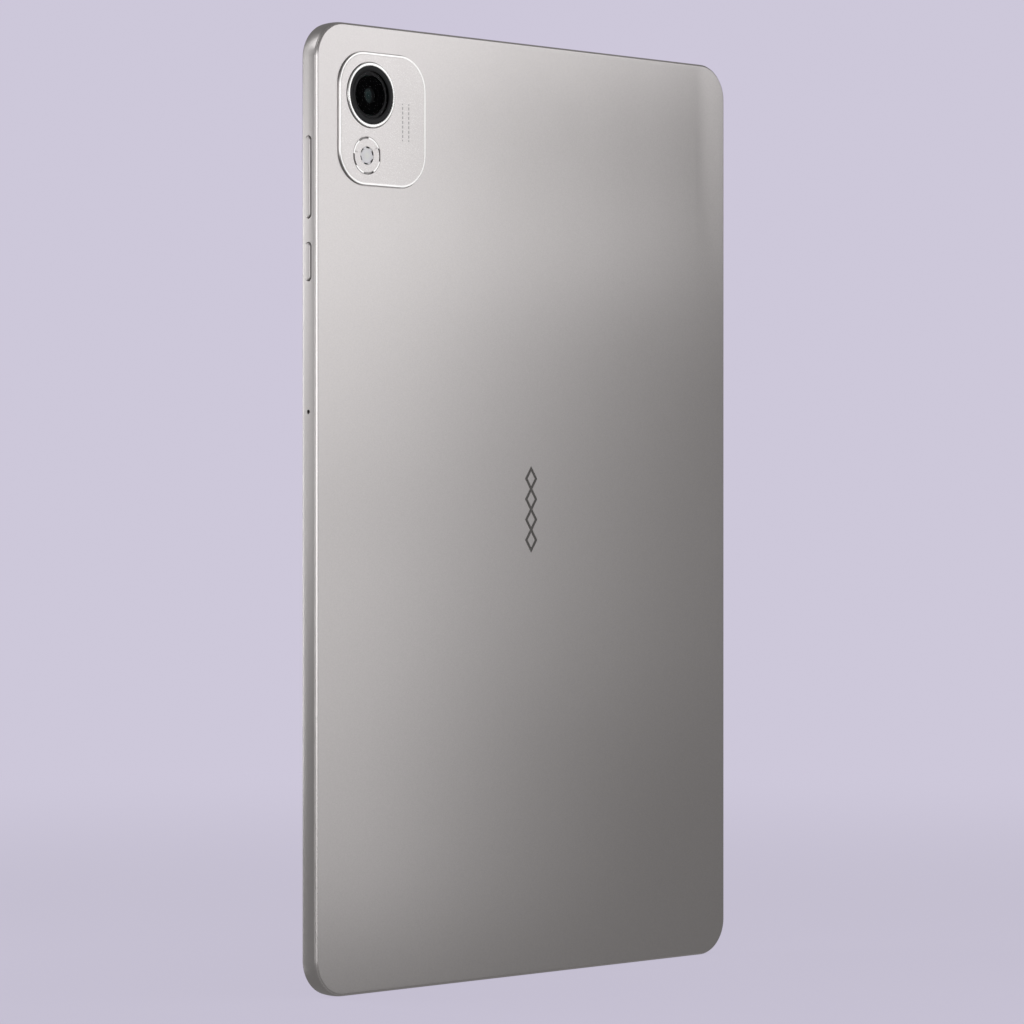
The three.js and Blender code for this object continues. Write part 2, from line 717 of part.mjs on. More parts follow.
function usbBoard() {
  const { half, bottom, top, notch, notch_top } = USB_BOARD;
  return carve(block(-half, half, bottom, top, BOARD.back, BOARD.front), [
    block(-notch, notch, bottom - PAST, notch_top, BOARD.back - PAST, BOARD.front + PAST),
    ...screwHoles(USB_SCREWS),
  ]);
}

piece("usb_board", usbBoard(), CIRCUIT_BOARD);
piece(
  "main_flex",
  film(-MAIN_FLEX.half, MAIN_FLEX.half, MAIN_FLEX.bottom, MAIN_FLEX.top),
  FLEX_FILM,
);

// A machine screw: a flat head with a socket, over the board, and a shank in the boss.
function screw() {
  const seat = BOARD.front + SLIP;
  const crest = seat + SCREW.head_height;
  const profile = [
    [0, SCREW.tip],
    [SCREW.shank, SCREW.tip],
    [SCREW.shank, seat],
    [SCREW.head, seat],
    [SCREW.head, crest],
    [SCREW.socket, crest],
    [SCREW.socket, seat],
    [0, seat],
  ];
  return turned(profile, SCREW_STEPS);
}

MAIN_SCREWS.forEach(([x, y], i) => piece(`main_board_screw_${i + 1}`, screw(), STEEL, x, y));
USB_SCREWS.forEach(([x, y], i) => piece(`usb_board_screw_${i + 1}`, screw(), STEEL, x, y));

// ---------------------------------------------------------------- USB-C socket
function usbShell() {
  const bore = stadium(USB.width - 2 * USB.wall, USB.height - 2 * USB.wall);
  return carve(alongY(stadium(USB.width, USB.height), USB.mouth, USB.depth, 0, BAND_DEPTH), [
    alongY(bore, USB.mouth - PAST, USB.depth + PAST, 0, BAND_DEPTH),
  ]);
}

function usbTongue() {
  const gap = USB.wall + SLIP;
  const base = stadium(USB.width - 2 * gap, USB.height - 2 * gap);
  const tongue = roundedRect(TONGUE.width, TONGUE.thickness, TONGUE.thickness / 4);
  return join([
    alongY(tongue, TONGUE.mouth, TONGUE.back, 0, BAND_DEPTH),
    alongY(base, TONGUE.base, TONGUE.back, 0, BAND_DEPTH),
  ]);
}

piece("usb_c_shell", usbShell(), STEEL);
piece("usb_c_tongue", usbTongue(), BLACK_PLASTIC);

const microphoneBack = BOARD.front + SLIP;
piece(
  "bottom_microphone",
  block(
    -BOTTOM_MICROPHONE.length / 2,
    BOTTOM_MICROPHONE.length / 2,
    -BOTTOM_MICROPHONE.width / 2,
    BOTTOM_MICROPHONE.width / 2,
    microphoneBack,
    microphoneBack + BOTTOM_MICROPHONE.height,
  ),
  STEEL,
  BOTTOM_MICROPHONE.x,
  BOTTOM_MICROPHONE.y,
);

// ---------------------------------------------------------------- speakers
function speakerBox(speaker) {
  const [low, high] = insideEdge(speaker, SPEAKER.inset, SPEAKER.width);
  const outline = roundedRect(SPEAKER.length, SPEAKER.width, SPEAKER.radius);
  return plate(outline, SPEAKER.back, SPEAKER.front).translate(0, (low + high) / 2, 0);
}

function speakerMesh(speaker) {
  const [low, high] = insideEdge(speaker, SIDE_WALL + SLIP, GRILLE.thickness);
  const width = SLOT.pitch * (SLOT.count - 1) + SLOT.length + 2 * GRILLE.margin;
  return alongY(stadium(width, GRILLE.width), low, high, 0, BAND_DEPTH);
}

for (const speaker of SPEAKERS) {
  piece(`speaker_${speaker.name}`, speakerBox(speaker), BLACK_PLASTIC, speaker.x);
  piece(`speaker_mesh_${speaker.name}`, speakerMesh(speaker), BLACK_METAL, speaker.x);
}

// ---------------------------------------------------------------- wireless antenna
piece(
  "wifi_antenna",
  plate(roundedRect(ANTENNA.width, ANTENNA.height, SHIELD.radius), ANTENNA.back, ANTENNA.front),
  FLEX_FILM,
  ANTENNA.x,
  ANTENNA.y,
);

// The coaxial lead from the antenna's lower edge down to the main board.
function antennaLead() {
  const edge = ANTENNA.y - ANTENNA.height / 2 - SLIP;
  const start = new THREE.Vector3(COAX.from_x, edge, COAX.depth);
  const end = new THREE.Vector3(COAX.to_x, edge - 6, COAX.depth);
  const route = new THREE.CubicBezierCurve3(
    start,
    start.clone().add(new THREE.Vector3(0, -4, 0)),
    end.clone().add(new THREE.Vector3(-5, 2, 0)),
    end,
  );
  const section = new THREE.Shape(
    Array.from({ length: COAX.sides }, (_, i) => {
      const angle = (2 * Math.PI * i) / COAX.sides;
      return new THREE.Vector2(COAX.radius * Math.cos(angle), COAX.radius * Math.sin(angle));
    }),
  );
  return new THREE.ExtrudeGeometry(section, { steps: COAX.steps, extrudePath: route });
}

piece("antenna_lead", antennaLead(), BLACK_PLASTIC);

export default device;
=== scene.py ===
"""The looks of the tablet computer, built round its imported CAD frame.

Lengths are millimetres in the tablet's own frame until at() turns them into the frame's metres:
x runs across towards the key edge, y up the long edge, and depth from the back plane (0) towards
the screen, so what stands proud of the back has a negative depth.
"""

import json
import math

import bmesh
import bpy
from mathutils import Matrix, Vector


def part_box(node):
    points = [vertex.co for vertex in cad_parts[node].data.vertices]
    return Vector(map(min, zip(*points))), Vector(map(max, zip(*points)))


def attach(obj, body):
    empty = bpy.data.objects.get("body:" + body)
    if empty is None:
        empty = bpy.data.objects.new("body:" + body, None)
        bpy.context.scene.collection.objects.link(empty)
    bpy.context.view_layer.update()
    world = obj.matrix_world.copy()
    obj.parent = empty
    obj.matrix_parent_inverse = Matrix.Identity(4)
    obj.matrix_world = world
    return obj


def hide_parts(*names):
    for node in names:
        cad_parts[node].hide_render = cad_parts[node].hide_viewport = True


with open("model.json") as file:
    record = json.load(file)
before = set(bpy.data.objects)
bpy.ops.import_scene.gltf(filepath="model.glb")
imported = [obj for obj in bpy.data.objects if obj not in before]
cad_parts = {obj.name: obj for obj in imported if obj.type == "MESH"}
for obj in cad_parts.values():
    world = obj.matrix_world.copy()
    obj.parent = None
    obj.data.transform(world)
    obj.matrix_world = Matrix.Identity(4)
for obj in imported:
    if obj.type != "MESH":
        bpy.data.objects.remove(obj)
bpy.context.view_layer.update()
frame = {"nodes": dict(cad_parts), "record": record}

MM = 0.001
CORNER_STEPS = 28  # segments in each corner of an outline
ROUND_STEPS = 128  # segments in a full circle
SHARP_ANGLE = math.radians(32)  # an edge that turns more than this is shaded as an edge
WELD = 1e-7  # metres; points nearer than this are one

# ------------------------------------------------------------------ dimensions
cover_low, cover_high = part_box("rear_cover")
ORIGIN = Vector(((cover_low.x + cover_high.x) / 2, cover_high.y, cover_low.z))
WIDTH = (cover_high.x - cover_low.x) / MM
HEIGHT = (cover_high.z - cover_low.z) / MM
EDGE_X = WIDTH / 2
CORNER = 10.3
RIM_DEPTH = (cover_high.y - cover_low.y) / MM
FRONT_ROUND = 0.9
REAR_WALL, SIDE_WALL = 0.8, 2.4
LEDGE = {"inset": 1.8, "depth": 5.9}
WALL_X = EDGE_X - SIDE_WALL

BAND_DEPTH = 2.65  # the ports' centre line
KEY_DEPTH = 3.15
KEY = {"width": 2.0, "gap": 0.15, "round": 0.32}
FLANGE = {"thickness": 0.5, "extra": 1.0}  # it runs past each end of its key
PLUNGER = {"reach": 0.35, "width": 1.6, "length": 2.4}
MICROPHONE_HOLE = 0.5
SIDE_MICROPHONE_Y = 160.0
BOTTOM_MICROPHONE_X = -14.0
SPEAKERS = [  # name, level of its edge, and the way into the body
    ("top_left", HEIGHT, -1),
    ("top_right", HEIGHT, -1),
    ("bottom_left", 0.0, 1),
    ("bottom_right", 0.0, 1),
]
SLOT = {"length": 3.4, "width": 1.3, "pitch": 5.2, "count": 6}
FLARE = 0.12  # broken edge round each opening
PAST = 1.0  # how far a cutter runs past the surface

ISLAND = {"width": 32.85, "height": 36.6, "radius": 9.6, "gap": 0.15, "floor": 0.35}
ISLAND_FACE = -0.55
ETCHING = {"rows": (49.2, 51.55), "y": 240.8, "half_length": 5.2, "half_width": 0.22, "pitch": 1.3}
LENS_HOLE, FLASH_HOLE = 9.1, 5.15
SCREEN_BORDER = 9.6  # from the body's edge to the display
GLASS = {"back": 6.0, "inset": 2.5, "round": 0.3}
GASKET = {"inset": 1.9, "depth": 6.45, "width": 0.5}
MARK = {"half_length": 3.6, "half_width": 2.425, "stroke": 0.75, "links": 4, "gap": 0.06}


def at(x, y, depth):
    return ORIGIN + Vector((x, -depth, y)) * MM


def middle(node):
    """x, y and depth of the middle of a CAD node's box."""
    low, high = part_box(node)
    offset = ((low + high) / 2 - ORIGIN) / MM
    return offset.x, offset.z, -offset.y


def size(node):
    low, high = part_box(node)
    return (high - low) / MM


# ------------------------------------------------------------------ outlines and lofts
def on_back(a, b, level):
    return at(a, b, level)


def on_side(a, b, level):
    return at(level, b, a)


def on_end(a, b, level):
    return at(a, level, b)


def rounded(width, height, radius, x=0.0, y=0.0, steps=CORNER_STEPS):
    """Outline function of a rounded rectangle: it gives the points `inset` inside the edge."""

    def outline(inset):
        r = max(radius - inset, 0.02)
        points = []
        for sx, sy, start in ((1, 1, 0), (-1, 1, 90), (-1, -1, 180), (1, -1, 270)):
            cx = x + sx * (width / 2 - inset - r)
            cy = y + sy * (height / 2 - inset - r)
            for i in range(steps + 1):
                angle = math.radians(start + 90 * i / steps)
                points.append((cx + r * math.cos(angle), cy + r * math.sin(angle)))
        return points

    return outline


def stadium(width, height, x=0.0, y=0.0, steps=12):
    return rounded(width, height, min(width, height) / 2, x, y, steps)


def circle(radius, x=0.0, y=0.0, steps=ROUND_STEPS):
    def outline(inset):
        turn = [2 * math.pi * i / steps for i in range(steps)]
        return [
            (x + (radius - inset) * math.cos(a), y + (radius - inset) * math.sin(a)) for a in turn
        ]

    return outline


def sector(inner, outer, middle_angle, span, x, y, steps=10):
    """A piece of a ring. Angles are degrees clockwise from the top, seen from behind the tablet."""

    def outline(inset):
        half = span / 2 - math.degrees(inset / outer)
        angles = [
            math.radians(middle_angle - half + 2 * half * i / steps) for i in range(steps + 1)
        ]

        def ring(r):
            return [(x - r * math.sin(a), y + r * math.cos(a)) for a in angles]

        return ring(outer - inset) + ring(inner + inset)[::-1]

    return outline


def rhombus(half_width, half_length, y):
    """Outline function of one link of the back mark."""
    slope = math.hypot(half_width, half_length)
    across = half_width * half_length / slope

    def outline(inset):
        share = (across - inset) / across
        a, b = half_width * share, half_length * share
        return [(a, y), (0, y + b), (-a, y), (0, y - b)]

    return outline


def loft(outline, profile, place=on_back, closed=False, paint=()):
    """A skin through copies of an outline. Each profile point is (inset, level), and paint[i] is
    the material of the span after point i. The ends are capped, or joined when closed."""
    rings = [[place(a, b, level) for a, b in outline(inset)] for inset, level in profile]
    count = len(rings[0])
    spans = len(rings) if closed else len(rings) - 1
    faces, paints = [], []
    for s in range(spans):
        here, there = s * count, (s + 1) % len(rings) * count
        for i in range(count):
            j = (i + 1) % count
            faces.append((here + i, here + j, there + j, there + i))
            paints.append(paint[s] if s < len(paint) else 0)
    if not closed:
        faces.append(tuple(range(count)))
        faces.append(tuple((spans * count) + i for i in range(count)))
        paints.extend((paint[0] if paint else 0, paint[-1] if len(paint) > spans else 0))
    return [p for ring in rings for p in ring], faces, paints


def turned(node, profile, closed=True, paint=()):
    """A ring or disc about the depth axis through a CAD node's middle, from (radius, depth)."""
    x, y, _ = middle(node)
    return loft(circle(0.0, x, y), [(-r, level) for r, level in profile], on_back, closed, paint)


# ------------------------------------------------------------------ objects
def mesh_object(name, parts, materials=()):
    bm = bmesh.new()
    for points, faces, paints in parts:
        verts = [bm.verts.new(p) for p in points]
        for corners, paint in zip(faces, paints):
            bm.faces.new([verts[i] for i in corners]).material_index = paint
    bmesh.ops.remove_doubles(bm, verts=bm.verts, dist=WELD)
    bmesh.ops.dissolve_degenerate(bm, edges=bm.edges, dist=WELD)
    bmesh.ops.recalc_face_normals(bm, faces=bm.faces)
    mesh = bpy.data.meshes.new(name)
    bm.to_mesh(mesh)
    bm.free()
    for material in materials:
        mesh.materials.append(material)
    obj = bpy.data.objects.new(name, mesh)
    bpy.context.scene.collection.objects.link(obj)
    return obj


def combine(obj, groups, operation="DIFFERENCE"):
    """Cuts groups of parts out of an object, or joins them to it. The parts in one group are
    clear of each other."""
    materials = list(obj.data.materials)
    for parts in groups:
        tool = mesh_object("tool", parts, materials)
        modifier = obj.modifiers.new("tool", "BOOLEAN")
        modifier.operation = operation
        modifier.solver = "EXACT"
        modifier.object = tool
        evaluated = obj.evaluated_get(bpy.context.evaluated_depsgraph_get())
        mesh = bpy.data.meshes.new_from_object(evaluated)
        obj.modifiers.clear()
        obj.data = mesh
        bpy.data.objects.remove(tool)


def finish_piece(obj, node, body="chassis"):
    """Smooth shading with sharp edges kept, then the piece's place in the frame."""
    mesh = obj.data
    mesh.polygons.foreach_set("use_smooth", [True] * len(mesh.polygons))
    mesh.set_sharp_from_angle(angle=SHARP_ANGLE)
    weighted = obj.modifiers.new("weighted", "WEIGHTED_NORMAL")
    weighted.keep_sharp = True
    weighted.weight = 100
    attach(obj, body)
    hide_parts(node)


# ------------------------------------------------------------------ materials
class Look:
    """A Principled material and the few kinds of node that its maps are made of."""

    def __init__(self, name, **constants):
        self.material = bpy.data.materials.new(name)
        self.material.use_nodes = True
        self.tree = self.material.node_tree
        self.shader = self.tree.nodes["Principled BSDF"]
        for socket, value in constants.items():
            self.shader.inputs[socket.replace("_", " ")].default_value = value
        self.place = self.add("ShaderNodeTexCoord").outputs["Object"]

    def add(self, kind, inputs=None, **settings):
        node = self.tree.nodes.new(kind)
        for key, value in settings.items():
            setattr(node, key, value)
        for key, value in (inputs or {}).items():
            if isinstance(value, bpy.types.NodeSocket):
                self.tree.links.new(value, node.inputs[key])
            else:
                node.inputs[key].default_value = value
        return node

    def link(self, output, socket):
        self.tree.links.new(output, self.shader.inputs[socket])

    def math(self, operation, a, b=0.0, clamp=False):
        settings = {"operation": operation, "use_clamp": clamp}
        return self.add("ShaderNodeMath", {0: a, 1: b}, **settings).outputs[0]

    def scaled(self, x=1.0, y=1.0, z=1.0):
        """The place in millimetres, stretched."""
        scale = (x / MM, y / MM, z / MM)
        return self.add("ShaderNodeMapping", {"Vector": self.place, "Scale": scale}).outputs[0]

    def noise(self, per_mm, detail=2.0, place=None, roughness=0.6):
        inputs = {"Vector": place or self.scaled(), "Scale": per_mm, "Detail": detail}
        inputs["Roughness"] = roughness
        return self.add("ShaderNodeTexNoise", inputs).outputs[0]

    def cells(self, per_mm, place=None):
        inputs = {"Vector": place or self.scaled(), "Scale": per_mm}
        return self.add("ShaderNodeTexVoronoi", inputs).outputs["Distance"]

    def wave(self, per_mm, direction, distortion=0.0):
        """Even bands, `per_mm` of them; the node's own pitch is a turn of 20 units."""
        scale = per_mm / 20 * math.tau
        inputs = {"Vector": self.scaled(), "Scale": scale, "Distortion": distortion}
        settings = {"bands_direction": direction, "wave_profile": "SIN"}
        return self.add("ShaderNodeTexWave", inputs, **settings).outputs["Fac"]

    def ramp(self, factor, low, high):
        """0 below `low` and 1 above `high`."""
        inputs = {"Value": factor, "From Min": low, "From Max": high}
        return self.add("ShaderNodeMapRange", inputs).outputs[0]

    def span(self, factor, start, end):
        """A map from 0-1 to start-end."""
        inputs = {"Value": factor, "To Min": start, "To Max": end}
        return self.add("ShaderNodeMapRange", inputs).outputs[0]

    def mix(self, factor, a, b):
        node = self.add("ShaderNodeMix", {0: factor}, data_type="RGBA")
        for socket, value in ((node.inputs[6], a), (node.inputs[7], b)):
            if isinstance(value, bpy.types.NodeSocket):
                self.tree.links.new(value, socket)
            else:
                socket.default_value = (*value, 1.0)
        return node.outputs[2]

    def bump(self, height, relief, strength=1.0):
        """Relief in millimetres."""
        inputs = {"Height": height, "Distance": relief * MM, "Strength": strength}
        self.link(self.add("ShaderNodeBump", inputs).outputs[0], "Normal")

    def axis(self, which):
        """The place along one axis, in millimetres from the tablet's origin."""
        place = self.add("ShaderNodeSeparateXYZ", {0: self.place}).outputs[which]
        return self.math("DIVIDE", self.math("SUBTRACT", place, ORIGIN["XYZ".index(which)]), MM)

    def length(self, a, b):
        squares = self.math("ADD", self.math("POWER", a, 2.0), self.math("POWER", b, 2.0))
        return self.math("SQRT", squares)

    def reach(self, node):
        """How far the place is from the depth axis through a CAD node's middle."""
        x, y, _ = middle(node)
        across = self.math("SUBTRACT", self.axis("X"), x)
        return self.length(across, self.math("SUBTRACT", self.axis("Z"), y))


def shades(color, spread):
    return [c * (1 - spread) for c in color], [c * (1 + spread) for c in color]


def grained(name, color, roughness, metallic, per_mm, relief, spread=0.05, **constants):
    """A fine grain in colour, roughness and height, with a broad faint cloud over it."""
    look = Look(name, Metallic=metallic, **constants)
    grain = look.noise(per_mm, 3.0)
    cloud = look.noise(0.03, 2.0)
    tone = look.math("ADD", look.math("MULTIPLY", grain, 0.8), look.math("MULTIPLY", cloud, 0.2))
    look.link(look.mix(look.ramp(tone, 0.3, 0.7), *shades(color, spread)), "Base Color")
    look.link(look.span(tone, roughness - 0.05, roughness + 0.05), "Roughness")
    look.bump(grain, relief)
    return look.material


def anodised_look():
    """Bead-blasted and anodised aluminium: a fine pitted grain with a few brighter grains."""
    look = Look("anodised_aluminium", Metallic=1.0)
    grain = look.noise(3.2, 3.0)
    pits = look.cells(4.5)
    speckle = look.ramp(look.noise(5.5, 0.0), 0.6, 0.8)
    cloud = look.noise(0.02, 1.0)
    base = look.mix(look.ramp(grain, 0.3, 0.7), *shades((0.612, 0.586, 0.585), 0.05))
    base = look.mix(look.math("MULTIPLY", speckle, 0.25), base, (0.74, 0.71, 0.71))
    look.link(base, "Base Color")
    tone = look.math("ADD", look.math("MULTIPLY", grain, 0.7), look.math("MULTIPLY", cloud, 0.3))
    look.link(look.span(tone, 0.26, 0.36), "Roughness")
    look.bump(look.math("ADD", grain, look.math("MULTIPLY", pits, 0.5)), 0.008, 0.7)
    return look.material


def polished_look(name, color, roughness, scratch=0.02):
    """Cut or polished metal with hair-fine tool lines."""
    look = Look(name, Metallic=1.0)
    lines = look.noise(1.0, 2.0, look.scaled(6.0, 6.0, 0.4))
    grain = look.noise(2.0, 2.0)
    look.link(look.mix(grain, *shades(color, scratch)), "Base Color")
    look.link(look.span(lines, roughness * 0.8, roughness * 1.2), "Roughness")
    look.bump(lines, 0.0008, 0.4)
    return look.material


def island_look():
    """Fine frosting that sparkles, with two rows of plain etched dashes beside the lens."""
    look = Look("frosted_aluminium", Metallic=1.0)
    grain = look.noise(2.6, 2.0)
    sparkle = look.ramp(look.noise(3.4, 0.0), 0.62, 0.74)
    base = look.mix(look.ramp(grain, 0.3, 0.7), *shades((0.635, 0.608, 0.606), 0.07))
    base = look.mix(look.math("MULTIPLY", sparkle, 0.6), base, (0.80, 0.79, 0.785))
    x, y = look.axis("X"), look.axis("Z")
    turn = look.math("MULTIPLY", y, math.tau / ETCHING["pitch"])
    dash = look.ramp(look.math("SINE", turn), -0.45, -0.25)
    marks = None
    for row in ETCHING["rows"]:
        across = look.math("ABSOLUTE", look.math("SUBTRACT", x, row))
        line = look.math("MULTIPLY", look.math("LESS_THAN", across, ETCHING["half_width"]), dash)
        marks = line if marks is None else look.math("MAXIMUM", marks, line)
    along = look.math("ABSOLUTE", look.math("SUBTRACT", y, ETCHING["y"]))
    marks = look.math("MULTIPLY", marks, look.math("LESS_THAN", along, ETCHING["half_length"]))
    base = look.mix(look.math("MULTIPLY", marks, 0.85), base, (0.31, 0.30, 0.30))
    look.link(base, "Base Color")
    look.link(look.span(grain, 0.27, 0.35), "Roughness")
    look.bump(look.math("ADD", grain, look.math("MULTIPLY", sparkle, 0.6)), 0.010, 0.6)
    return look.material


def screen_look():
    """Polished glass over a black border print and a switched-off display."""
    look = Look("cover_glass", Roughness=0.035, Coat_Weight=1.0, Coat_Roughness=0.02, IOR=1.5)
    x = look.math("ABSOLUTE", look.axis("X"))
    y = look.math("ABSOLUTE", look.math("SUBTRACT", look.axis("Z"), HEIGHT / 2))
    edge_x = look.math("SUBTRACT", x, EDGE_X - SCREEN_BORDER)
    edge_y = look.math("SUBTRACT", y, HEIGHT / 2 - SCREEN_BORDER)
    border = look.ramp(look.math("MAXIMUM", edge_x, edge_y), -0.02, 0.02)
    rows = look.math("MULTIPLY", look.wave(4.0, "X"), look.wave(4.0, "Z"))
    panel = look.mix(rows, (0.0060, 0.0062, 0.0075), (0.0085, 0.0088, 0.0105))
    haze = look.noise(0.02, 2.0)
    border_print = look.mix(haze, (0.0020, 0.0020, 0.0022), (0.0032, 0.0032, 0.0034))
    base = look.mix(border, panel, border_print)
    reach = look.reach("front_camera")
    window = look.math("SUBTRACT", 1.0, look.ramp(reach, 1.05, 1.12))
    pupil = look.mix(look.ramp(reach, 0.45, 0.6), (0.012, 0.02, 0.05), (0.02, 0.021, 0.024))
    look.link(look.mix(window, base, pupil), "Base Color")
    look.bump(haze, 0.002, 0.3)
    return look.material


def bezel_look():
    """Black anodised metal, turned on a lathe."""
    look = Look("turned_black", Metallic=1.0, Anisotropic=0.75, IOR=1.5)
    lines = look.noise(6.0, 2.0)
    look.link(look.mix(lines, (0.022, 0.022, 0.023), (0.036, 0.036, 0.038)), "Base Color")
    look.link(look.span(lines, 0.30, 0.42), "Roughness")
    tangent = look.add("ShaderNodeTangent", direction_type="RADIAL", axis="Y")
    look.link(tangent.outputs[0], "Tangent")
    return look.material


def window_look():
    """Thin glass with an anti-reflection coating, so almost all of it is clear."""
    look = Look("lens_window", Alpha=0.1, IOR=1.5, Specular_IOR_Level=0.05)
    haze = look.noise(0.6, 2.0)
    look.link(look.mix(haze, (0.001, 0.001, 0.0012), (0.003, 0.003, 0.0035)), "Base Color")
    look.link(look.span(haze, 0.02, 0.03), "Roughness")
    return look.material


def lens_element_look():
    """Coated glass over a dark iris: faint green-blue reflections."""
    coat = {"Coat_Weight": 0.05, "Coat_Roughness": 0.01}
    look = Look("lens_element", Roughness=0.03, IOR=1.5, Specular_IOR_Level=0.15, **coat)
    look.shader.inputs["Specular Tint"].default_value = (0.35, 0.95, 0.9, 1.0)
    iris = look.ramp(look.reach("lens_element"), 0.9, 1.0)
    dust = look.noise(8.0, 2.0)
    rim = look.mix(dust, (0.010, 0.010, 0.0105), (0.014, 0.014, 0.0145))
    look.link(look.mix(iris, (0.001, 0.004, 0.005), rim), "Base Color")
    return look.material


def flash_lens_look():
    """A clear moulded lens with rings of fine prisms over a pale reflector."""
    look = Look("clear_plastic", Roughness=0.12, Coat_Weight=1.0, Coat_Roughness=0.05, IOR=1.5)
    reach = look.reach("flash_lens")
    rings = look.math("SINE", look.math("MULTIPLY", reach, math.tau / 0.3))
    glow = look.ramp(reach, 0.2, 1.6)
    look.link(look.mix(glow, (0.80, 0.82, 0.73), (0.76, 0.77, 0.74)), "Base Color")
    look.bump(rings, 0.01, 0.4)
    return look.material


def mesh_look():
    """Black woven dust mesh."""
    look = Look("speaker_mesh", Metallic=0.6)
    weave = look.math("MULTIPLY", look.wave(5.0, "X"), look.wave(5.0, "Y"))
    look.link(look.mix(weave, (0.004, 0.004, 0.004), (0.09, 0.09, 0.092)), "Base Color")
    look.link(look.span(weave, 0.6, 0.35), "Roughness")
    look.bump(weave, 0.04)
    return look.material


def board_look():
    """Green solder mask over copper tracks."""
    look = Look("circuit_board", Roughness=0.38, Coat_Weight=0.3, Coat_Roughness=0.2)
    tracks = look.ramp(look.wave(0.8, "X", 3.0), 0.6, 0.68)
    crossing = look.ramp(look.wave(0.5, "Z", 5.0), 0.62, 0.7)
    copper = look.math("MAXIMUM", tracks, crossing)
    grain = look.noise(2.0)
    mask = look.mix(grain, (0.010, 0.075, 0.050), (0.016, 0.100, 0.068))
    look.link(look.mix(copper, mask, (0.035, 0.17, 0.10)), "Base Color")
    look.bump(copper, 0.02)
    return look.material


def flex_look():
    """Amber polyimide film with copper tracks under it."""
    look = Look("flex_film", Roughness=0.3, Coat_Weight=0.5, Coat_Roughness=0.15)
    tracks = look.ramp(look.wave(1.6, "X"), 0.55, 0.65)
    grain = look.noise(1.5)
    base = look.mix(grain, (0.22, 0.085, 0.018), (0.30, 0.12, 0.028))
    look.link(look.mix(tracks, base, (0.42, 0.19, 0.07)), "Base Color")
    look.bump(tracks, 0.015)
    return look.material


anodised = anodised_look()
chamfer_metal = polished_look("cut_chamfer", (0.78, 0.75, 0.745), 0.28)
frosted = island_look()
lip_metal = polished_look("polished_lip", (0.93, 0.92, 0.915), 0.30)
steel_ring = polished_look("polished_steel", (0.90, 0.895, 0.89), 0.27)
inlay = polished_look("dark_polished_inlay", (0.17, 0.163, 0.158), 0.24)
black_metal = bezel_look()
black_matt = grained(
    "black_matt", (0.001, 0.001, 0.0011), 0.7, 0.0, 3.0, 0.004, Specular_IOR_Level=0.0
)
window_glass = window_look()
coated_lens = lens_element_look()
flash_clear = flash_lens_look()
glass_front = screen_look()
black_plastic = grained("black_plastic", (0.012, 0.012, 0.0125), 0.5, 0.0, 3.0, 0.006, 0.15)
rubber = grained("gasket_black", (0.007, 0.007, 0.0075), 0.62, 0.0, 2.0, 0.004, 0.15)
bright_steel = grained("bright_steel", (0.60, 0.60, 0.61), 0.3, 1.0, 1.2, 0.003)
# A darkened metal for the flash groove: painted shade standing in for the shade down in the groove.
groove_shade_metal = polished_look("groove_painted_shade", (0.30, 0.29, 0.29), 0.4)
gold = polished_look("gold_contact", (0.90, 0.66, 0.28), 0.25)
looks = {
    "anodised_aluminium": anodised,
    "frosted_aluminium": frosted,
    "polished_steel": steel_ring,
    "dark_polished_inlay": inlay,
    "black_anodised": black_matt,
    "lens_glass": coated_lens,
    "clear_plastic": flash_clear,
    "led_phosphor": grained("led_phosphor", (0.80, 0.58, 0.05), 0.45, 0.0, 6.0, 0.006, 0.1),
    "cover_glass": glass_front,
    "display_panel": grained("display_panel", (0.008, 0.008, 0.010), 0.15, 0.0, 1.0, 0.001),
    "white_plastic": grained("white_plastic", (0.72, 0.73, 0.72), 0.4, 0.0, 1.0, 0.003),
    "black_plastic": black_plastic,
    "speaker_mesh": mesh_look(),
    "magnesium": grained("magnesium", (0.26, 0.27, 0.28), 0.5, 0.9, 1.2, 0.012, 0.1),
    "circuit_board": board_look(),
    "bright_steel": bright_steel,
    "flex_film": flex_look(),
    "battery_foil": grained("battery_foil", (0.045, 0.045, 0.05), 0.35, 0.7, 0.4, 0.02, 0.1),
    "graphite": grained("graphite", (0.030, 0.030, 0.033), 0.5, 0.3, 1.5, 0.006, 0.15),
}

for part in frame["record"]["subparts"]:
    mesh = frame["nodes"][part["node"]].data
    mesh.materials.clear()
    mesh.materials.append(looks[part["material_slot"]])

# ------------------------------------------------------------------ casing
COVER_PROFILE = [  # inset, depth, material: the back, the cut chamfer, and the groove beside it
    (2.0, 0.0, 0),
    (0.92, 0.0, 0),
    (0.80, 0.010, 0),
    (0.73, 0.030, 0),
    (0.68, 0.055, 0),
    (0.65, 0.085, 1),
    (0.33, 0.405, 1),
    (0.30, 0.440, 0),
    (0.265, 0.515, 0),
    (0.26, 0.610, 0),
    (0.245, 0.660, 0),
    (0.165, 0.700, 0),
    (0.120, 0.770, 0),
    (0.100, 0.870, 0),
]
CROWN = {"middle": 2.9, "start": 1.02, "end": 5.29, "bow": 0.025}  # the band bulges a little


def arc(centre, radius, start, end, steps):
    """Profile points (inset, level) along an arc, in degrees from the level axis."""
    turns = [math.radians(start + (end - start) * i / steps) for i in range(steps + 1)]
    return [(centre[0] - radius * math.cos(t), centre[1] + radius * math.sin(t)) for t in turns]


def through_side(outline):
    """A cutter through the key edge's wall, its mouth a little flared."""
    levels = [(0, WALL_X - PAST), (0, EDGE_X - FLARE), (-FLARE, EDGE_X), (-FLARE, EDGE_X + PAST)]
    return loft(outline, levels, on_side)


def through_end(outline, edge, inward):
    levels = [(0, SIDE_WALL + PAST), (0, FLARE), (-FLARE, 0.0), (-FLARE, -PAST)]
    return loft(outline, [(inset, edge + inward * level) for inset, level in levels], on_end)


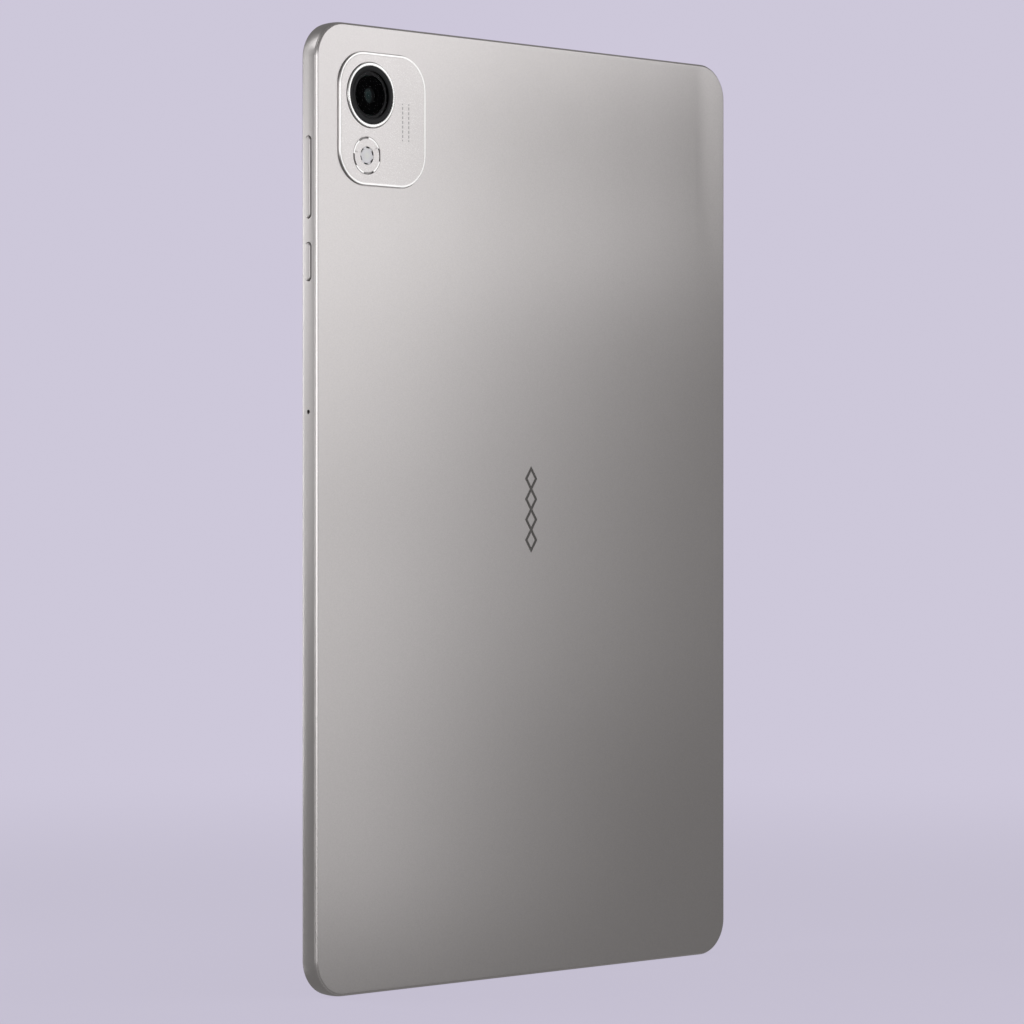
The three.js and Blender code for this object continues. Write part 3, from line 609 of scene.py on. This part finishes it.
def key_hole(node):
    _, y, _ = middle(node)
    length = size(node).z - 2 * FLANGE["extra"]
    gap = 2 * KEY["gap"]
    return through_side(stadium(KEY["width"] + gap, length + gap, KEY_DEPTH, y, 16))


def mark_link(index, grow):
    slope = math.hypot(MARK["half_width"], MARK["half_length"])
    across = MARK["half_width"] * MARK["half_length"] / slope
    pitch = 2 * MARK["half_length"] * (across - MARK["stroke"] / 2) / across
    y = HEIGHT / 2 + (index - (MARK["links"] - 1) / 2) * pitch
    outline = rhombus(MARK["half_width"], MARK["half_length"], y)
    inner = MARK["stroke"] + grow
    levels = [(-grow, -PAST), (-grow, 0.25), (inner, 0.25), (inner, -PAST)]
    return loft(outline, levels, closed=True)


def rear_cover():
    outline = rounded(WIDTH, HEIGHT, CORNER, 0, HEIGHT / 2)
    profile = [(inset, level) for inset, level, _ in COVER_PROFILE]
    band = [CROWN["start"] + (CROWN["end"] - CROWN["start"]) * i / 10 for i in range(11)]
    profile += [(CROWN["bow"] * (level - CROWN["middle"]) ** 2, level) for level in band]
    lean = math.atan(2 * CROWN["bow"] * (CROWN["end"] - CROWN["middle"]))
    centre = profile[-1][0] + FRONT_ROUND * math.cos(lean)
    bend = arc((centre, RIM_DEPTH - FRONT_ROUND), FRONT_ROUND, math.degrees(lean), 90, 12)
    profile += bend[1:]
    profile += [
        (LEDGE["inset"] - 0.05, RIM_DEPTH),
        (LEDGE["inset"], RIM_DEPTH - 0.05),
        (LEDGE["inset"], LEDGE["depth"]),
        (SIDE_WALL, LEDGE["depth"]),
        (SIDE_WALL, REAR_WALL),
    ]
    paint = [material for _, _, material in COVER_PROFILE]
    shell = mesh_object("shell", [loft(outline, profile, paint=paint)], [anodised, chamfer_metal])

    x, y, _ = middle("camera_island")
    gap = 2 * ISLAND["gap"]
    seat = rounded(
        ISLAND["width"] + gap, ISLAND["height"] + gap, ISLAND["radius"] + ISLAND["gap"], x, y
    )
    openings = [
        loft(seat, [(-0.08, -PAST), (-0.08, 0.0), (0, 0.08), (0, ISLAND["floor"])]),
        key_hole("volume_key"),
        key_hole("power_key"),
        through_side(circle(MICROPHONE_HOLE, KEY_DEPTH, SIDE_MICROPHONE_Y, 32)),
        through_end(circle(MICROPHONE_HOLE, BOTTOM_MICROPHONE_X, BAND_DEPTH, 32), 0.0, 1),
    ]
    mouth = size("usb_c_shell")
    usb = stadium(mouth.x + 0.3, mouth.y + 0.3, middle("usb_c_shell")[0], BAND_DEPTH, 16)
    openings.append(through_end(usb, 0.0, 1))
    for name, edge, inward in SPEAKERS:
        x_middle = middle("speaker_" + name)[0]
        for i in range(SLOT["count"]):
            x = x_middle + (i - (SLOT["count"] - 1) / 2) * SLOT["pitch"]
            slot = stadium(SLOT["length"], SLOT["width"], x, BAND_DEPTH, 10)
            openings.append(through_end(slot, edge, inward))
    lens_x, lens_y, _ = middle("lens_trim_ring")
    flash_x, flash_y, _ = middle("flash_lens")
    through = [(0, 0.2), (0, REAR_WALL + PAST)]
    holes = [
        loft(circle(7.0, lens_x, lens_y), through),
        loft(circle(3.0, flash_x, flash_y, 64), through),
    ]
    links = [[mark_link(i, MARK["gap"])] for i in range(MARK["links"])]
    combine(shell, [openings, holes, *links])
    bosses, bores = [], []
    for node in frame["nodes"]:
        if "_screw_" in node:
            bx, by, _ = middle(node)
            bosses.append(loft(circle(2.2, bx, by, 24), [(0, REAR_WALL - 0.1), (0, 1.8)]))
            bores.append(loft(circle(0.9, bx, by, 24), [(0, 0.9), (0, 1.8 + PAST)]))
    combine(shell, [bosses], "UNION")
    combine(shell, [bores])
    shell.name = "back_shell"
    finish_piece(shell, "rear_cover")


rear_cover()


def add_edge(node, width, segments=2):
    """Breaks the edges of a CAD node whose shape stays."""
    bevel = frame["nodes"][node].modifiers.new("edge", "BEVEL")
    bevel.width = width * MM
    bevel.segments = segments
    bevel.limit_method = "ANGLE"
    bevel.angle_limit = math.radians(40)


# ------------------------------------------------------------------ side keys
def side_key(node, body, plungers):
    """A cap with round ends and a broken edge, its flange behind the wall, and its plungers."""
    _, y, _ = middle(node)
    low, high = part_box(node)
    face = (high.x - ORIGIN.x) / MM
    foot = (low.x - ORIGIN.x) / MM
    length = size(node).z - 2 * FLANGE["extra"]
    flange_back = foot + PLUNGER["reach"]
    flange_front = flange_back + FLANGE["thickness"]
    cap = stadium(KEY["width"], length, KEY_DEPTH, y, 16)
    edge = arc((KEY["round"], face - KEY["round"]), KEY["round"], 0, 72, 6)
    crown = [(0.50, face - 0.004), (0.75, face), (0.90, face)]
    flange = stadium(KEY["width"], length + 2 * FLANGE["extra"], KEY_DEPTH, y, 16)
    base = loft(flange, [(0, flange_back), (0, flange_front)], on_side)
    stem = loft(cap, [(0, flange_front - 0.2), *edge, *crown], on_side)
    obj = mesh_object(node + "_cap", [stem], [anodised])
    feet = []
    for offset in plungers:
        width = PLUNGER["width"]
        outline = rounded(width, PLUNGER["length"], width / 4, KEY_DEPTH, y + offset, 6)
        feet.append(loft(outline, [(0, foot), (0, flange_back + 0.1)], on_side))
    combine(obj, [[base], feet], "UNION")
    finish_piece(obj, node, body)


side_key("volume_key", "volume_rocker", (-7, 7))
side_key("power_key", "power_button", (0,))

# ------------------------------------------------------------------ camera island
ISLAND_PROFILE = [  # inset, depth, material: the wall, the polished lip, and the frosted face
    (0.0, 0.25, 1),
    (0.0, -0.44, 1),
    (0.02, -0.50, 1),
    (0.05, -0.555, 1),
    (0.10, -0.59, 1),
    (0.15, -0.60, 1),
    (0.54, -0.60, 1),
    (0.59, -0.59, 0),
    (0.67, -0.56, 0),
    (0.76, -0.545, 0),
    (0.90, ISLAND_FACE, 0),
    (1.2, ISLAND_FACE, 0),
]


def camera_island():
    x, y, _ = middle("camera_island")
    outline = rounded(ISLAND["width"], ISLAND["height"], ISLAND["radius"], x, y)
    profile = [(inset, level) for inset, level, _ in ISLAND_PROFILE]
    paint = [material for _, _, material in ISLAND_PROFILE]
    plate = mesh_object("island_plate", [loft(outline, profile, paint=paint)], [frosted, lip_metal])
    holes = []
    for node, radius in (("lens_trim_ring", LENS_HOLE), ("flash_lens", FLASH_HOLE)):
        hx, hy, _ = middle(node)
        levels = [(-0.1, -PAST), (-0.1, ISLAND_FACE), (0, -0.45), (0, 0.25 + PAST)]
        holes.append(loft(circle(radius, hx, hy), levels))
    combine(plate, [holes])
    finish_piece(plate, "camera_island")


camera_island()

# Lathe profiles, as (radius, depth).
ring_profile = [
    (8.1, -0.84),
    (8.13, -0.90),
    (8.2, -0.94),
    (8.3, -0.95),
    (8.68, -0.95),
    (8.8, -0.93),
    (8.89, -0.87),
    (8.94, -0.78),
    (8.95, -0.70),
    (8.95, 0.25),
    (8.1, 0.25),
]
ring = mesh_object("trim_ring", [turned("lens_trim_ring", ring_profile)], [steel_ring])
finish_piece(ring, "lens_trim_ring")

bezel_profile = [
    (5.6, -0.25),
    (6.62, -0.25),
    (6.62, -0.72),
    (6.66, -0.745),
    (7.3, -0.83),
    (7.93, -0.915),
    (8.0, -0.89),
    (8.0, 0.25),
    (5.6, 0.25),
]
bezel = mesh_object("bezel_cone", [turned("lens_bezel_ring", bezel_profile)], [black_metal])
lens_middle = at(*middle("lens_bezel_ring"))
bezel.data.transform(Matrix.Translation(-lens_middle))
bezel.location = lens_middle
finish_piece(bezel, "lens_bezel_ring")

window_profile = [(6.4, -0.31), (6.5, -0.35), (6.5, -0.70), (6.47, -0.74), (6.4, -0.76)]
window = mesh_object(
    "window_disc", [turned("lens_window", window_profile, closed=False)], [window_glass]
)
finish_piece(window, "lens_window")

shroud_profile = [
    (2.15, -0.19),
    (2.2, -0.25),
    (5.4, -0.25),
    (5.4, -0.05),
    (2.25, -0.05),
    (2.15, -0.1),
]
shroud = mesh_object("shroud_disc", [turned("lens_shroud", shroud_profile)], [black_matt])
finish_piece(shroud, "lens_shroud")

dome_turns = [math.pi / 2 * i / 12 for i in range(1, 13)]
dome = [(2.7 * math.sin(a), 0.6 - 0.25 * math.cos(a)) for a in dome_turns]
element_profile = [(0.02, 0.35), *dome, (2.7, 0.72), (0.02, 0.72)]
element = mesh_object(
    "front_lens", [turned("lens_element", element_profile, closed=False)], [coated_lens]
)
finish_piece(element, "lens_element", "autofocus_barrel")


def flash():
    """The flash bezel with its interrupted groove, whose darkened metal is painted shade, and the
    lens held by six small tabs.
    """
    x, y, _ = middle("flash_lens")
    face, groove, foot = ISLAND_FACE, -0.10, 0.25
    disc = [
        (2.5, face + 0.03),
        (2.53, face),
        (4.62, face),
        (4.7, face + 0.05),
        (4.7, groove),
        (5.02, groove),
        (5.02, foot),
        (2.5, foot),
    ]
    # Spans 4 and 5, the groove's wall and floor, take the darkened groove metal as painted shade.
    part = turned("flash_lens", disc, paint=(0, 0, 0, 1, 2, 2))
    bezel_disc = mesh_object("flash_disc", [part], [frosted, lip_metal, groove_shade_metal])
    bridges = []
    for angle, span in ((35, 56), (128, 44), (214, 40), (299, 50)):
        outline = sector(4.62, 5.12, angle, span, x, y)
        levels = [(0, foot - 0.1), (0, face + 0.03), (0.04, face - 0.01)]
        bridges.append(loft(outline, levels, paint=(1, 1, 1, 1)))
    combine(bezel_disc, [bridges], "UNION")
    finish_piece(bezel_disc, "flash_bezel")

    lens_profile = [
        (0.02, -0.545),
        (1.2, -0.54),
        (1.8, -0.53),
        (2.02, -0.515),
        (2.1, -0.46),
        (2.1, foot),
        (0.02, foot),
    ]
    lens = mesh_object(
        "flash_window", [turned("flash_lens", lens_profile, closed=False)], [flash_clear]
    )
    tabs = [
        loft(sector(2.0, 2.46, angle, 27, x, y, 4), [(0, 0.0), (0, -0.47), (0.04, -0.5)])
        for angle in (40, 98, 155, 220, 278, 340)
    ]
    combine(lens, [tabs], "UNION")
    finish_piece(lens, "flash_lens")


flash()
add_edge("back_mark", 0.05)

# ------------------------------------------------------------------ screen side
def inside_body(inset):
    """Outline function of the body's own outline, brought in."""
    return rounded(WIDTH - 2 * inset, HEIGHT - 2 * inset, CORNER - inset, 0, HEIGHT / 2)


glass_outline = inside_body(GLASS["inset"])
front_depth = GLASS["back"] + size("cover_glass").y
glass_edge = arc((GLASS["round"], front_depth - GLASS["round"]), GLASS["round"], 0, 90, 6)
glass_profile = [(0.3, GLASS["back"]), (0.0, GLASS["back"] + 0.1), *glass_edge, (0.6, front_depth)]
glass = mesh_object("front_glass", [loft(glass_outline, glass_profile)], [glass_front])
finish_piece(glass, "cover_glass")

gasket_outline = inside_body(GASKET["inset"])
gasket_profile = [
    (0, GLASS["back"]),
    (0, GASKET["depth"] - 0.05),
    (0.05, GASKET["depth"]),
    (GASKET["width"] - 0.05, GASKET["depth"]),
    (GASKET["width"], GASKET["depth"] - 0.05),
    (GASKET["width"], GLASS["back"]),
]
gasket = mesh_object("screen_gasket", [loft(gasket_outline, gasket_profile, closed=True)], [rubber])
finish_piece(gasket, "display_gasket")


# ------------------------------------------------------------------ USB-C socket
def usb_socket():
    x, _, _ = middle("usb_c_shell")
    low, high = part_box("usb_c_shell")
    mouth, end = (low.z - ORIGIN.z) / MM, (high.z - ORIGIN.z) / MM
    extent = size("usb_c_shell")
    outline = stadium(extent.x, extent.y, x, BAND_DEPTH, 20)
    profile = [
        (0.0, end),
        (0.0, mouth + 0.08),
        (0.03, mouth + 0.02),
        (0.08, mouth),
        (0.16, mouth),
        (0.25, mouth + 0.06),
        (0.3, mouth + 0.2),
        (0.3, end),
    ]
    shell = mesh_object("socket_shell", [loft(outline, profile, on_end, True)], [bright_steel])
    finish_piece(shell, "usb_c_shell")

    base = stadium(extent.x - 0.8, extent.y - 0.8, x, BAND_DEPTH, 16)
    blade = rounded(6.7, 0.7, 0.2, x, BAND_DEPTH, 5)
    root = loft(base, [(0, 6.0), (0, 7.5)], on_end)
    tongue = mesh_object("socket_tongue", [root], [black_plastic, gold])
    combine(tongue, [[loft(blade, [(0.12, 1.6), (0.0, 1.85), (0, 6.5)], on_end)]], "UNION")
    contacts = []
    for i in range(12):
        cx = x + (i - 5.5) * 0.5
        for side in (-1, 1):
            pad = rounded(0.27, 0.06, 0.02, cx, BAND_DEPTH + side * 0.35, 2)
            contacts.append(loft(pad, [(0, 2.1), (0, 5.4)], on_end, paint=(1, 1, 1)))
    combine(tongue, [contacts], "UNION")
    finish_piece(tongue, "usb_c_tongue")


usb_socket()

for node in frame["nodes"]:
    if node.endswith("_shield") or "_screw_" in node or node.endswith(("_switch", "microphone")):
        add_edge(node, 0.08)
    elif node.endswith(("_board", "_bracket")) or node.startswith("speaker_mesh"):
        add_edge(node, 0.04, 1)

# ------------------------------------------------------------------ stage
BACKDROP = (0.61, 0.575, 0.70)
FILL = {"color": (1.0, 0.985, 0.975), "strength": 0.212}  # even light from all round
FLOOR_REACH = 12.0
FLOOR_FADE = (0.16, 0.9)  # metres from the tablet: shaded floor, then plain backdrop
FLOOR_GLOW = 0.85  # share of plain backdrop where the floor is shaded


def floor_look():
    """Pale matt floor that fades into the backdrop's own tone away from the tablet."""
    look = Look("pale_floor", Roughness=0.9, Specular_IOR_Level=0.1)
    look.shader.inputs["Base Color"].default_value = (*BACKDROP, 1.0)
    parts = look.add("ShaderNodeSeparateXYZ", {0: look.place}).outputs
    reach = look.length(parts[0], parts[1])
    inputs = {"Value": reach, "From Min": FLOOR_FADE[0], "From Max": FLOOR_FADE[1]}
    fade = look.add("ShaderNodeMapRange", {**inputs, "To Min": FLOOR_GLOW})
    fade.interpolation_type = "SMOOTHSTEP"
    glow = look.add("ShaderNodeEmission", {"Color": (*BACKDROP, 1.0), "Strength": 1.0})
    inputs = {0: fade.outputs[0], 1: look.shader.outputs[0], 2: glow.outputs[0]}
    mixed = look.add("ShaderNodeMixShader", inputs)
    look.tree.links.new(mixed.outputs[0], look.tree.nodes["Material Output"].inputs[0])
    return look.material


def make_floor():
    bm = bmesh.new()
    bmesh.ops.create_circle(bm, cap_ends=True, radius=FLOOR_REACH, segments=96)
    mesh = bpy.data.meshes.new("floor")
    bm.to_mesh(mesh)
    bm.free()
    mesh.materials.append(floor_look())
    floor = bpy.data.objects.new("floor", mesh)
    floor.location.z = ORIGIN.z
    floor.visible_glossy = False
    floor.visible_transmission = False
    bpy.context.scene.collection.objects.link(floor)


make_floor()


def make_world():
    world = bpy.data.worlds.new("studio")
    world.use_nodes = True
    nodes, links = world.node_tree.nodes, world.node_tree.links
    fill = nodes["Background"]
    fill.inputs["Color"].default_value = (*FILL["color"], 1.0)
    fill.inputs["Strength"].default_value = FILL["strength"]
    backdrop = nodes.new("ShaderNodeBackground")
    backdrop.inputs["Color"].default_value = (*BACKDROP, 1.0)
    seen = nodes.new("ShaderNodeLightPath").outputs["Is Camera Ray"]
    mixed = nodes.new("ShaderNodeMixShader")
    links.new(seen, mixed.inputs[0])
    links.new(fill.outputs[0], mixed.inputs[1])
    links.new(backdrop.outputs[0], mixed.inputs[2])
    links.new(mixed.outputs[0], nodes["World Output"].inputs["Surface"])
    bpy.context.scene.world = world


make_world()

# Soft panels. The near ones stand behind the back and grade its sheen, and the strips and edge
# panels light the key edge. Each is name: (place, aim, width, height, watts), in metres.
LIGHTS = {
    "key_side": ((1.25, 0.34, 0.28), (0.0, 0.0, 0.17), 0.6, 0.6, 2.5),
    "corner_high": ((0.38, -0.30, 0.62), (0.08, 0.0, 0.25), 0.25, 0.25, 0.3),
    "camera_side": ((0.916, 0.916, 0.283), (0.0, 0.0, 0.17), 0.6, 0.6, 1.6),
    "back_wide": ((-0.274, 0.475, 0.218), (0.0, 0.0, 0.17), 0.25, 0.25, 0.062),
    "upper_right_high": ((-0.162, 0.178, 0.38), (0.05, 0.0, 0.22), 0.2, 0.2, 0.11),
    "near_left_low": ((-0.06, 0.22, 0.06), (0.022, 0.0, 0.06), 0.15, 0.15, 0.035),
    "near_left_middle": ((-0.06, 0.22, 0.22), (0.022, 0.0, 0.22), 0.15, 0.15, 0.037),
    "near_left_high": ((-0.06, 0.22, 0.32), (0.022, 0.0, 0.32), 0.15, 0.15, 0.031),
    "near_middle_low": ((-0.13, 0.22, 0.06), (0.001, 0.0, 0.06), 0.15, 0.15, 0.0096),
    "near_middle": ((-0.13, 0.22, 0.22), (0.001, 0.0, 0.22), 0.15, 0.15, 0.011),
    "near_right_lower": ((-0.2, 0.22, 0.14), (-0.02, 0.0, 0.14), 0.15, 0.15, 0.0066),
    "near_right_middle": ((-0.2, 0.22, 0.22), (-0.02, 0.0, 0.22), 0.15, 0.15, 0.051),
    "near_right_high": ((-0.2, 0.22, 0.32), (-0.02, 0.0, 0.32), 0.15, 0.15, 0.012),
    "strip_middle": ((0.16, -0.26, 0.15), (0.083, 0.0, 0.15), 0.06, 0.22, 0.15),
    "strip_low": ((0.16, -0.26, 0.0), (0.083, 0.0, 0.0), 0.06, 0.22, 0.026),
    "edge_high": ((0.35, -0.4, 0.35), (0.083, 0.0, 0.2), 0.2, 0.3, 0.13),
    "edge_middle": ((0.42, -0.32, 0.2), (0.083, 0.0, 0.2), 0.2, 0.2, 0.06),
}


def area_light(name, place, aim, width, height, watts):
    data = bpy.data.lights.new(name, "AREA")
    data.shape = "RECTANGLE"
    data.size, data.size_y = width, height
    data.energy = watts
    light = bpy.data.objects.new(name, data)
    light.location = place
    light.rotation_mode = "QUATERNION"
    light.rotation_quaternion = (Vector(aim) - Vector(place)).to_track_quat("-Z", "Y")
    light.visible_camera = False
    bpy.context.scene.collection.objects.link(light)


for name, settings in LIGHTS.items():
    area_light(name, *settings)


# A level camera: metres, degrees from the view along -Y, and millimetres of lens.
CAMERA = {"place": (0.82205, 0.8073, 0.13242), "turn": 45.354, "lens": 141.02, "shift": 0.00104}


def make_camera():
    turn = math.radians(CAMERA["turn"])
    data = bpy.data.cameras.new("camera")
    data.lens = CAMERA["lens"]
    data.sensor_width = 36.0
    data.shift_y = CAMERA["shift"]
    data.clip_start, data.clip_end = 0.05, 100.0
    camera = bpy.data.objects.new("camera", data)
    camera.location = CAMERA["place"]
    camera.rotation_mode = "QUATERNION"
    forward = Vector((-math.sin(turn), -math.cos(turn), 0.0))
    camera.rotation_quaternion = forward.to_track_quat("-Z", "Y")
    bpy.context.scene.collection.objects.link(camera)
    bpy.context.scene.camera = camera


make_camera()
bpy.context.scene.view_settings.view_transform = "Standard"
